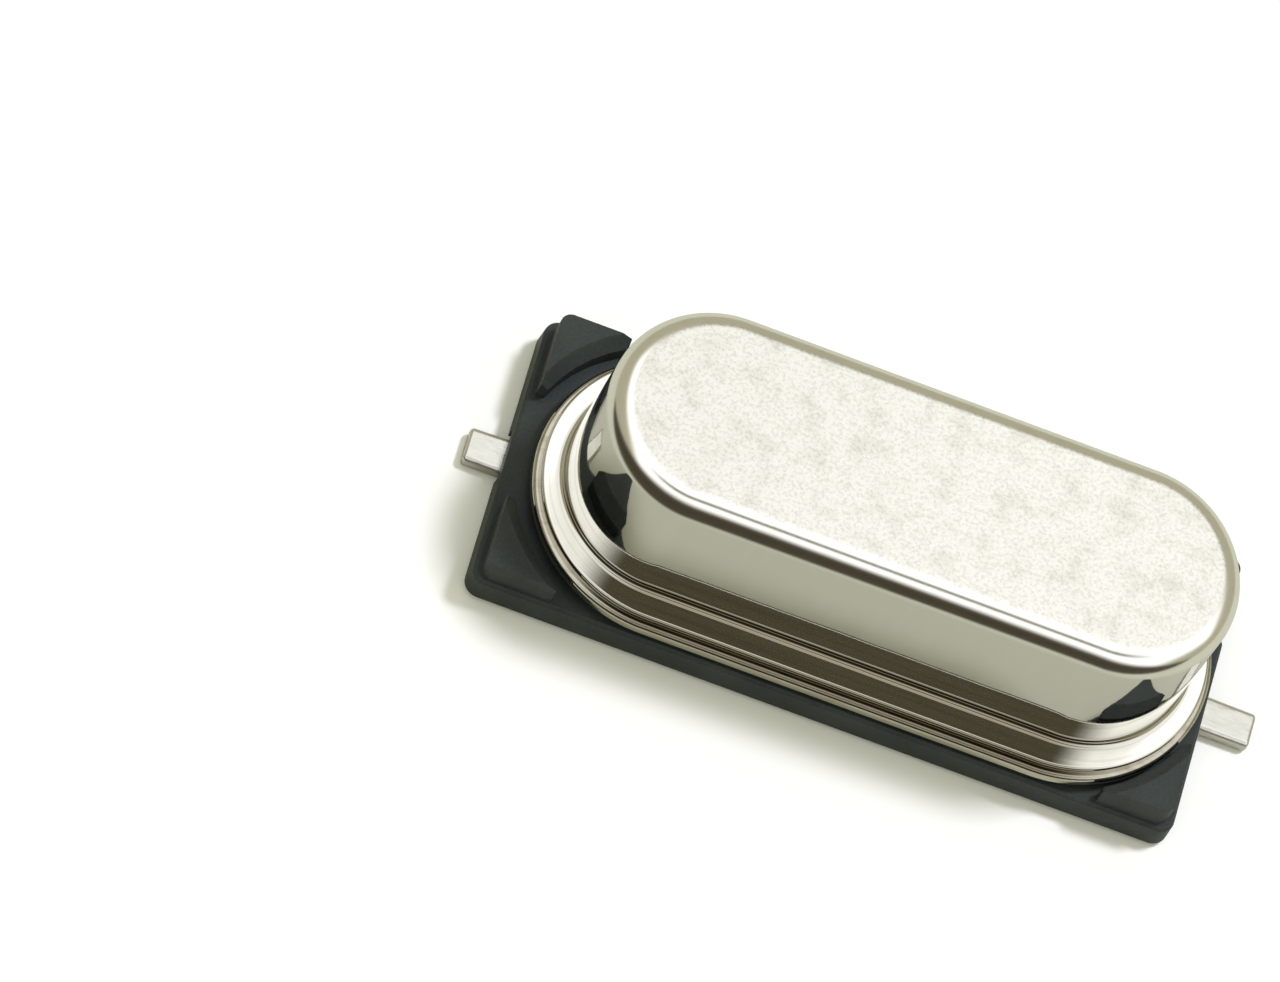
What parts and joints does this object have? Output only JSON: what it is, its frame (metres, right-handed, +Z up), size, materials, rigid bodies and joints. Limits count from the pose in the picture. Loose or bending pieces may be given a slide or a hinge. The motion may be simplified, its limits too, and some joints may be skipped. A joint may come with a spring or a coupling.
{
  "type": "crystal oscillator",
  "caption": "Quartz crystal sealed in an obround metal can with a weld flange, on a black moulded insulator plate with two flattened solder feet for surface mounting.",
  "frame": {"origin": "middle of the footprint over the two solder feet, on the surface that they stand on", "axes": "+X along the can towards the right foot, +Y across the can, +Z up through the top of the can"},
  "size_m": [0.013, 0.0048, 0.0041],
  "materials": {
    "can_nickel": "satin nickel plate on the top, bright on the drawn wall",
    "base_nickel": "bright nickel plate",
    "black_moulding": "satin charcoal moulding",
    "tinned_wire": "bright tin plate with scuffs",
    "seal_glass": "dark fused glass",
    "clip_steel": "plain spring strip",
    "quartz": "lapped and etched quartz",
    "silver_film": "evaporated silver",
    "silver_cement": "silver-filled cement"
  },
  "bodies": {
    "root": {"cover": "can_nickel", "base_header": "base_nickel", "insulator_plate": "black_moulding", "lead_left": "tinned_wire", "lead_right": "tinned_wire", "glass_seal_left": "seal_glass", "glass_seal_right": "seal_glass", "mounting_clip_left": "clip_steel", "mounting_clip_right": "clip_steel", "quartz_blank": "quartz", "electrode_top": "silver_film", "electrode_bottom": "silver_film", "adhesive_left": "silver_cement", "adhesive_right": "silver_cement"}
  },
  "joints": []
}
